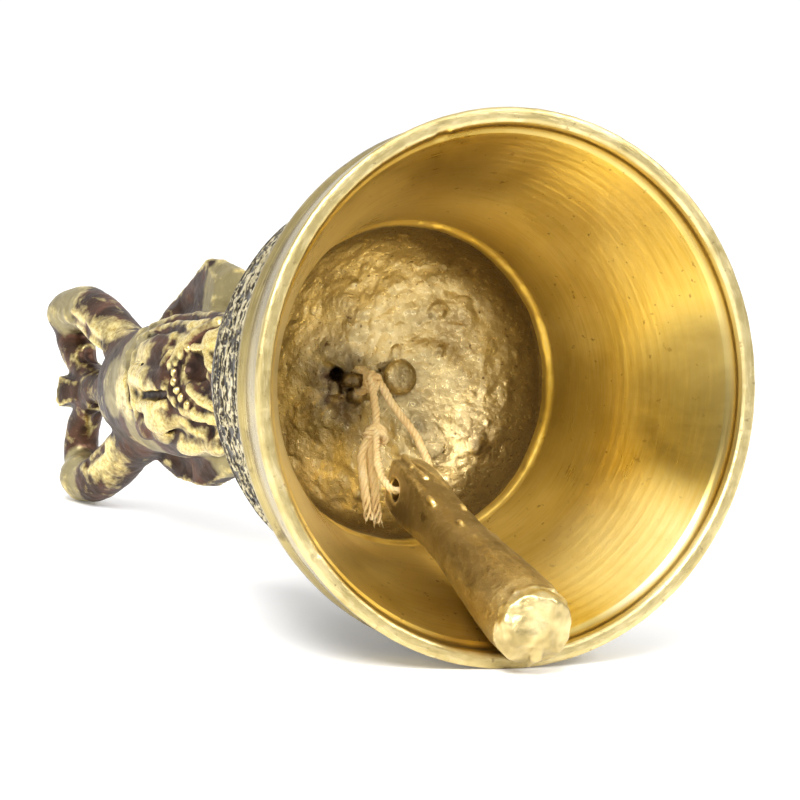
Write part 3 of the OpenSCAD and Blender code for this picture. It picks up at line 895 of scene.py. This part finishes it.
def handle(material):
    clay = Clay((-12, -19, 50.5), (12, 18.5, 161), 0.34)
    clay.add(stem_shape, (-12, -12, 51.5), (12, 12, 75), 0.6)
    clay.add(trunk_shape, (-10, -11, 74), (10, 11, 131), 1.0)
    wing(clay, -1, UPPER_WING)
    wing(clay, 1, LOWER_WING)
    horns(clay)
    crest(clay)
    relief_work(clay)
    verts, quads = clay.mesh()
    out = point_normals(verts, quads)
    rough = 0.16 * fractal(verts, 3.2, 3, 5) + 0.05 * noise(verts, 0.8, 11)
    worn = smoothstep(verts[:, 2], 70, 78)
    verts = verts + out * (rough * (0.35 + 0.65 * worn))[:, None]
    wear = relief(verts, quads, 10)
    rub = spots(verts, [(-8.6, -1.0, 101, 5.5), (-8.4, 4, 95, 4.5), (-6, -6, 89, 4.4), (-8, 1, 110, 4.0),
                        (-5.5, 8.2, 88, 5.0), (-7, 4, 80, 4.0), (-7, -5, 79, 4.0), (-3.6, 10.5, 126, 3.4),
                        (-3, 12.2, 131, 3.0), (-3.8, -8.6, 133, 2.8), (-4.2, -10.2, 139, 2.8),
                        (-2, -9.6, 127, 2.4), (8, 0, 100, 6), (6, 7, 88, 5), (6, -7, 88, 5)], 1.8)
    # light brown spots: painted light on the wings' lower ends, handled places elsewhere
    tan = spots(verts, [(2.5, -15, 97, 7), (2.5, 12.5, 94, 6.5), (-3, -13, 147, 5.5), (-2, 14, 145, 5.5),
                        (0, 0, 151, 4.4), (-6, -7, 108, 6.5), (-8, 0, 116, 5), (-5, 7, 108, 5)], 1.8)
    verts[:, 1] += LEAN * (verts[:, 2] - CROWN)
    place("handle", verts, quads, material, "bell", "patina_brass",
          ["handle_stem", "handle_trunk", "handle_collar", "horn_upper", "horn_lower",
           "crest_knob", "wing_upper", "wing_lower"], wear=wear, rub=rub, tan=tan)


# ---------------------------------------------------------------- the clapper

CLAPPER_LEAN = math.radians(24)


def clapper(material):
    """A flat-topped bar with a hole, a round neck and a thick end that is broken off."""
    clay = Clay((-6.5, -7, -5), (6.5, 7, 42.5), 0.18)
    s = [-3.0, 0, 3.5, 7, 11, 16, 23, 29.8, 34.3, 38.0, 40.2]
    w = [3.1, 3.6, 3.7, 3.6, 3.5, 3.7, 4.4, 5.0, 5.2, 5.0, 4.3]
    t = [2.4, 2.6, 2.7, 3.0, 3.3, 3.7, 4.4, 5.0, 5.2, 5.0, 4.3]
    power = [10, 9, 7, 3.6, 2.6, 2.2, 2, 2, 2, 2, 2]

    def body(p):
        z = p[..., 2]
        a, b, n = np.interp(z, s, t), np.interp(z, s, w), np.interp(z, s, power)
        k = (np.abs(p[..., 0] / a) ** n + np.abs(p[..., 1] / b) ** n + 1e-9) ** (1 / n)
        return (k - 1) * np.minimum(a, b) * 0.9
    clay.add(lambda p: np.maximum(body(p), np.maximum(-2.9 - p[..., 2], p[..., 2] - 40.2)),
             (-6, -6, -4), (6, 6, 41), 0.3)
    # slanted cut at the top, torn step beside the ridge, and the twine's hole
    clay.cut(lambda p: -slab(p, [((0, 0, -2.6), (0.3, 0.3, -1))]), (-6, -6, -5), (6, 6, 1), 0.2)
    clay.rope([(0.2, -3.2, -4), (-0.3, -3.4, -1), (0.4, -3.6, 2), (0.9, -3.7, 4.5), (1.6, -3.6, 6.4)],
              [0.3, 0.42, 0.35, 0.4, 0.2], 0.12, cut=True)
    clay.rope([(-0.9, -3.7, -2.4), (-1.2, -3.75, 1), (-0.6, -3.7, 4)], 0.4, 0.3)
    for x, y, z, r in ((-2.2, -3.3, 9.5, 0.5), (1.2, -3.4, 12, 0.45), (-1.2, -3.6, 16.6, 0.4),
                       (2.8, -2.6, 19, 0.5)):
        clay.ball((x, y, z), (r, r, r * 2.2), 0.25)
    clay.rope([(-6, 0, 0), (6, 0, 0)], 1.55, 0.2, cut=True)
    # the broken end: four flat breaks, a torn lip between them and a burr underneath
    breaks = [((-1.6, -0.6, 39.9), (-0.18, -0.30, 1)), ((1.6, -0.4, 39.9), (0.42, -0.12, 1)),
              ((0, 2.6, 39.4), (-0.1, 0.62, 1)), ((-4.1, 2.4, 37.4), (-0.95, 0.35, 0.62)),
              ((-3.4, -2.8, 38.3), (-0.5, -0.55, 0.9))]
    for point, out in breaks:
        clay.cut(lambda p, point=point, out=out: -slab(p, [(point, out)]),
                 (-6.5, -6.5, 33), (6.5, 6.5, 42), 0.1)
    clay.rope([(-0.4, -0.8, 39.7), (0.1, 1.4, 39.7), (0.3, 3.2, 39.2), (0.1, 4.9, 38.3)],
              [0.35, 0.6, 0.7, 0.4], 0.25)
    clay.rope([(-3.9, -2.6, 36.9), (-2.6, -3.9, 36.2), (-0.4, -4.8, 36.5), (2, -4.6, 36.8),
               (3.9, -3.1, 37.2)], [0.3, 0.38, 0.3, 0.36, 0.3], 0.35)
    verts, quads = clay.mesh()
    out = point_normals(verts, quads)
    ragged = verts[:, 2] + 0.9 * noise(verts, 2.6, 63) + 0.35 * noise(verts, 1.1, 65)
    end = smoothstep(ragged, 36.6, 37.2)
    verts = verts + out * (0.07 * fractal(verts, 2.6, 3, 21) + 0.12 * end * noise(verts, 1.1, 31))[:, None]
    wear = relief(verts, quads, 14)
    c, n = math.cos(CLAPPER_LEAN), math.sin(CLAPPER_LEAN)
    x, y, d = verts.T
    placed = np.stack([x, HOLE[1] + y * c + d * n, HOLE[2] + y * n - d * c], 1)
    place("clapper_club", placed, quads[:, ::-1], material, "clapper", "dull_brass", ["clapper"],
          wear=wear, end=end)


# ---------------------------------------------------------------- eye, boss and twine

def inside(material):
    """The cast eye that the twine is tied to, with its solder bead, and the sprue's boss."""
    clay = Clay((-4, -3, 41), (4.5, 4, 47.5), 0.12)
    clay.rope([(-2.1, 0, 46.6), (-2.0, 0, 44.4), (-1.2, 0, 43.95), (1.2, 0, 43.95), (2.0, 0, 44.4),
               (2.1, 0, 46.6)], 0.9, 0.3)
    clay.ball((-0.2, 2.0, 45.7), (1.4, 1.3, 1.3), 0.5)
    clay.ball((1.7, 1.5, 46.2), (1.3, 1.2, 1.0), 0.4)
    verts, quads = clay.mesh()
    out = point_normals(verts, quads)
    verts = verts + out * (0.06 * fractal(verts, 1.6, 3, 5))[:, None]
    place("eye", verts, quads[:, ::-1], material, "bell", "cast_brass", ["twine_eye"], raised=0.1)
    clay = Clay((2.5, -4, 42.5), (11, 4, 47), 0.15)
    clay.ball((6.3, -0.4, 45.6), (2.5, 2.4, 1.25), 0.3)
    clay.ball((6.3, -0.4, 44.0), (1.5, 1.4, 0.55), 0.5, cut=True)
    verts, quads = clay.mesh()
    out = point_normals(verts, quads)
    verts = verts + out * (0.09 * fractal(verts, 1.4, 3, 8))[:, None]
    place("boss", verts, quads[:, ::-1], material, "bell", "cast_brass", ["casting_boss"], raised=0.1)


def smooth_path(points, count):
    """A smooth curve through the points, at even steps."""
    p = np.asarray(points, float)
    p = np.concatenate([2 * p[:1] - p[1:2], p, 2 * p[-1:] - p[-2:-1]])
    fine = []
    for a, b, c, d in zip(p[:-3], p[1:-2], p[2:-1], p[3:]):
        t = np.linspace(0, 1, 24, endpoint=False)[:, None]
        fine.append(0.5 * (2 * b + (c - a) * t + (2 * a - 5 * b + 4 * c - d) * t ** 2
                           + (3 * b - a - 3 * c + d) * t ** 3))
    fine = np.concatenate(fine + [p[-2:-1]])
    length = np.concatenate([[0], np.cumsum(np.linalg.norm(np.diff(fine, axis=0), axis=1))])
    at = np.linspace(0, length[-1], count)
    return np.stack([np.interp(at, length, fine[:, k]) for k in range(3)], 1), length[-1]


def frames(path):
    """Directions across a path that turn with it but don't twist."""
    t = np.gradient(path, axis=0)
    t /= np.linalg.norm(t, axis=1)[:, None]
    u = np.cross(t[0], (0.3, 0.5, 0.8))
    u /= np.linalg.norm(u)
    us = []
    for direction in t:
        u = u - direction * (u @ direction)
        u /= np.linalg.norm(u)
        us.append(u)
    us = np.array(us)
    return us, np.cross(t, us)


def tube(path, radius, sides=10):
    """Points and faces of a closed tube; the radius may change along it."""
    radius = np.broadcast_to(radius, len(path))
    u, v = frames(path)
    a = np.linspace(0, 2 * math.pi, sides, endpoint=False)
    ring = (np.cos(a)[None, :, None] * u[:, None] + np.sin(a)[None, :, None] * v[:, None])
    verts = (path[:, None] + radius[:, None, None] * ring).reshape(-1, 3)
    faces = grid_faces(len(path), sides)
    faces.append(tuple(range(sides))[::-1])
    faces.append(tuple((len(path) - 1) * sides + k for k in range(sides)))
    return verts, faces


def twist(points, radius, plies=3, pitch=2.3, seed=0, spread=None, fuzz=14):
    """Twine through the points: plies wound round each other, and loose fibres standing off."""
    count = 160
    path, length = smooth_path(points, count)
    u, v = frames(path)
    s = np.linspace(0, 1, count)
    open_up = 1 + (0 if spread is None else spread) * smoothstep(s, 0.55, 1)
    turn = 2 * math.pi * s * length / pitch
    parts = []
    for k in range(plies):
        a = turn + 2 * math.pi * k / plies
        wobble = 1 + 0.12 * np.sin(s * 17 + k * 2.1 + seed)
        off = (radius * 0.5 * open_up * wobble)[:, None]
        ply = path + off * (np.cos(a)[:, None] * u + np.sin(a)[:, None] * v)
        thick = radius * 0.56 * (1 + 0.10 * np.sin(s * 29 + k + seed))
        if spread is not None:
            thick = thick * (1 - 0.55 * smoothstep(s, 0.6, 1))
        parts.append(tube(ply, thick, 9))
    rng = np.random.default_rng(seed + 5)
    for k in range(int(fuzz * length / 10)):
        i = rng.integers(4, count - 5)
        side = rng.normal(size=3)
        side /= np.linalg.norm(side)
        along = path[i + 1] - path[i]
        along /= np.linalg.norm(along)
        start = path[i] + side * radius * 0.6
        mid = start + side * radius * 0.5 + along * rng.uniform(0.3, 0.8)
        end = mid + along * rng.uniform(0.2, 0.9) + side * rng.uniform(-0.2, 0.35) * radius
        hair, _ = smooth_path([start, mid, end], 7)
        parts.append(tube(hair, np.linspace(0.045, 0.02, 7), 4))
    return parts


def join_parts(parts):
    verts, faces, start = [], [], 0
    for v, f in parts:
        verts.append(v)
        faces += [tuple(start + k for k in face) for face in f]
        start += len(v)
    return np.concatenate(verts), faces


def twine(material):
    kx, ky, kz = KNOT
    hx, hy, hz = HOLE
    eye_z = kz + 3.3
    # a turn and a half round the bar of the eye, running down to the knot
    around = []
    for a in np.radians(np.linspace(-120, 420, 30)):
        around.append((-0.45 + 0.9 * (a / 9.5), 1.5 * math.sin(a), eye_z + 1.5 * math.cos(a)))
    around.append((0.3, 0.9, eye_z - 1.9))
    verts, faces = join_parts(twist(around, 0.5, seed=3, fuzz=10))
    place("hitch", verts, faces, material, "bell", "twine", ["twine_hitch"])

    # the turn of twine just under the eye, pulled tight
    knot = []
    for t in np.linspace(0, 2 * math.pi, 40):
        r = 1 + 0.42 * math.cos(3 * t)
        knot.append((kx + 0.6 * r * math.cos(2 * t), ky + 0.75 * r * math.sin(2 * t),
                     kz + 0.42 * math.sin(3 * t)))
    verts, faces = join_parts(twist(knot, 0.45, seed=8, fuzz=10))
    place("knot", verts, faces, material, "knot", "twine", ["twine_knot"])

    dy, dz = hy - ky, hz - kz
    one = [(0.7, ky, kz - 0.3), (2.1, ky + dy * 0.25, kz + dz * 0.2), (3.6, ky + dy * 0.5, kz + dz * 0.46),
           (3.9, ky + dy * 0.78, kz + dz * 0.76), (3.7, hy - 0.3, hz + 0.3), (2.6, hy, hz)]
    two = [(-2.6, hy, hz), (-3.5, hy - 0.8, hz + 0.5), (-3.4, ky + dy * 0.8, kz + dz * 0.74),
           (-1.8, ky + dy * 0.56, kz + dz * 0.40), (-0.6, ky + dy * 0.3, kz + dz * 0.18), (-0.5, ky, kz - 0.3)]
    verts, faces = join_parts(twist(one + [(0, hy, hz)] + two, 0.52, seed=12, fuzz=26))
    place("strands", verts, faces, material, "twine", "twine", ["twine_strands"])

    # the knot that the tails come out of, and two frayed tails
    wrap = []
    for t in np.linspace(0, 4 * math.pi, 60):
        wrap.append((-0.9 + 1.15 * math.cos(t), 6.6 + 1.1 * math.sin(t) + 0.12 * t,
                     38.3 + 0.9 * math.sin(t) - 0.05 * t))
    tails = twist(wrap, 0.52, seed=61, fuzz=22)
    for points, seed in (([(-1.2, 6.6, 37.6), (-1.9, 9.2, 37.3), (-1.5, 13.4, 37.1), (-1.0, 18.8, 36.8)], 31),
                         ([(-1.6, 7.0, 37.9), (-3.1, 9.8, 37.4), (-2.9, 14, 37.0), (-2.3, 18.4, 36.7)], 47)):
        tails += twist(points, 0.58, plies=4, pitch=5.0, seed=seed, spread=0.7, fuzz=55)
    verts, faces = join_parts(tails)
    place("tails", verts, faces, material, "twine", "twine", ["twine_tails"])


# ---------------------------------------------------------------- camera, floor and light

# where the camera stands, in mm, and how it is turned, all in the bell's own frame
CAMERA_AT = Vector((-230.6, -10.2, -441.3))
CAMERA_TOWARDS = Vector((0.43748, 0.02373, 0.8989))
CAMERA_UP = Vector((0, -0.99965, 0.0264))


def look():
    cam_data = bpy.data.cameras.new("camera")
    cam_data.lens = 180
    cam_data.sensor_width = 36
    cam = bpy.data.objects.new("camera", cam_data)
    bpy.context.scene.collection.objects.link(cam)
    eye = BELL @ (CAMERA_AT * MM)
    forward = (BELL.to_3x3() @ CAMERA_TOWARDS).normalized()
    up = BELL.to_3x3() @ CAMERA_UP
    right = forward.cross(up).normalized()
    up = right.cross(forward)
    m = Matrix((right, up, -forward)).transposed().to_4x4()
    m.translation = eye
    cam.matrix_world = m
    bpy.context.scene.camera = cam


def area_light(name, at, towards, size, watts, colour=(1, 1, 1)):
    data = bpy.data.lights.new(name, "AREA")
    data.shape = "RECTANGLE"
    data.size, data.size_y = size
    data.energy = watts
    data.color = colour
    light = bpy.data.objects.new(name, data)
    bpy.context.scene.collection.objects.link(light)
    light.location = at
    light.rotation_euler = (Vector(towards) - Vector(at)).to_track_quat("-Z", "Y").to_euler()


def sheet(name, corners, material):
    """A flat sheet of the studio."""
    mesh = bpy.data.meshes.new(name)
    mesh.from_pydata(corners, [], [(0, 1, 2, 3)])
    keep_own(mesh, np.array(corners) / MM)
    mesh.materials.append(material)
    piece = bpy.data.objects.new(name, mesh)
    bpy.context.scene.collection.objects.link(piece)
    return piece


def studio():
    p = Paint("floor_paper")
    paper = p.finish(p.ramp(p.noise(0.02, 3), (0.3, 0.90), (0.7, 0.93)), 0.9, metallic=0.0)
    p.shader.inputs["Emission Color"].default_value = (1, 1, 1, 1)
    p.shader.inputs["Emission Strength"].default_value = 0.13
    sheet("floor", [(-4, -4, 0), (4, -4, 0), (4, 4, 0), (-4, 4, 0)], paper)
    # a dark card on the right for the turned metal to reflect, hidden from the camera
    p = Paint("card_felt")
    felt = p.finish(p.ramp(p.noise(0.05, 3), (0.3, 0.02), (0.7, 0.04)), 0.95, metallic=0.0)
    card = sheet("card", [(0.20, -0.62, 0.0), (0.46, -0.20, 0.0), (0.46, -0.20, 0.16),
                          (0.20, -0.62, 0.16)], felt)
    card.visible_camera = False
    card.visible_shadow = False
    world = bpy.data.worlds.new("studio")
    bpy.context.scene.world = world
    world.use_nodes = True
    tree = world.node_tree
    coords = tree.nodes.new("ShaderNodeTexCoord")
    parts = tree.nodes.new("ShaderNodeSeparateXYZ")
    tree.links.new(coords.outputs["Generated"], parts.inputs[0])
    # white all round behind the bell; a dim room low down on the camera's side
    front = ease(tree, parts.outputs["Y"], 0.05, -0.35, 1.0)
    low = ease(tree, parts.outputs["Z"], 0.62, 0.30, 0.85)
    dim = tree.nodes.new("ShaderNodeMath")
    dim.operation = "MULTIPLY"
    tree.links.new(front, dim.inputs[0])
    tree.links.new(low, dim.inputs[1])
    tone = tree.nodes.new("ShaderNodeMix")
    tone.data_type = "RGBA"
    tone.inputs["A"].default_value = (1, 1, 1, 1)
    tone.inputs["B"].default_value = (0.10, 0.09, 0.08, 1)
    tree.links.new(dim.outputs[0], tone.inputs["Factor"])
    back = tree.nodes["Background"]
    tree.links.new(tone.outputs["Result"], back.inputs["Color"])
    back.inputs["Strength"].default_value = 1.05
    area_light("key", (-0.35, -0.55, 0.55), (0, -0.05, 0.03), (0.35, 0.35), 9)
    area_light("side", (0.5, -0.5, 0.5), (0, -0.05, 0.03), (0.2, 0.2), 3)
    bpy.context.scene.view_settings.view_transform = "Standard"


patina = patina_brass()
dull = dull_brass()
cast = cast_brass()
cream = cotton()
cup([turned_brass(), cast, lip_brass(), band_brass(), rim_brass()])
handle(patina)
clapper(dull)
inside(cast)
twine(cream)
look()
studio()

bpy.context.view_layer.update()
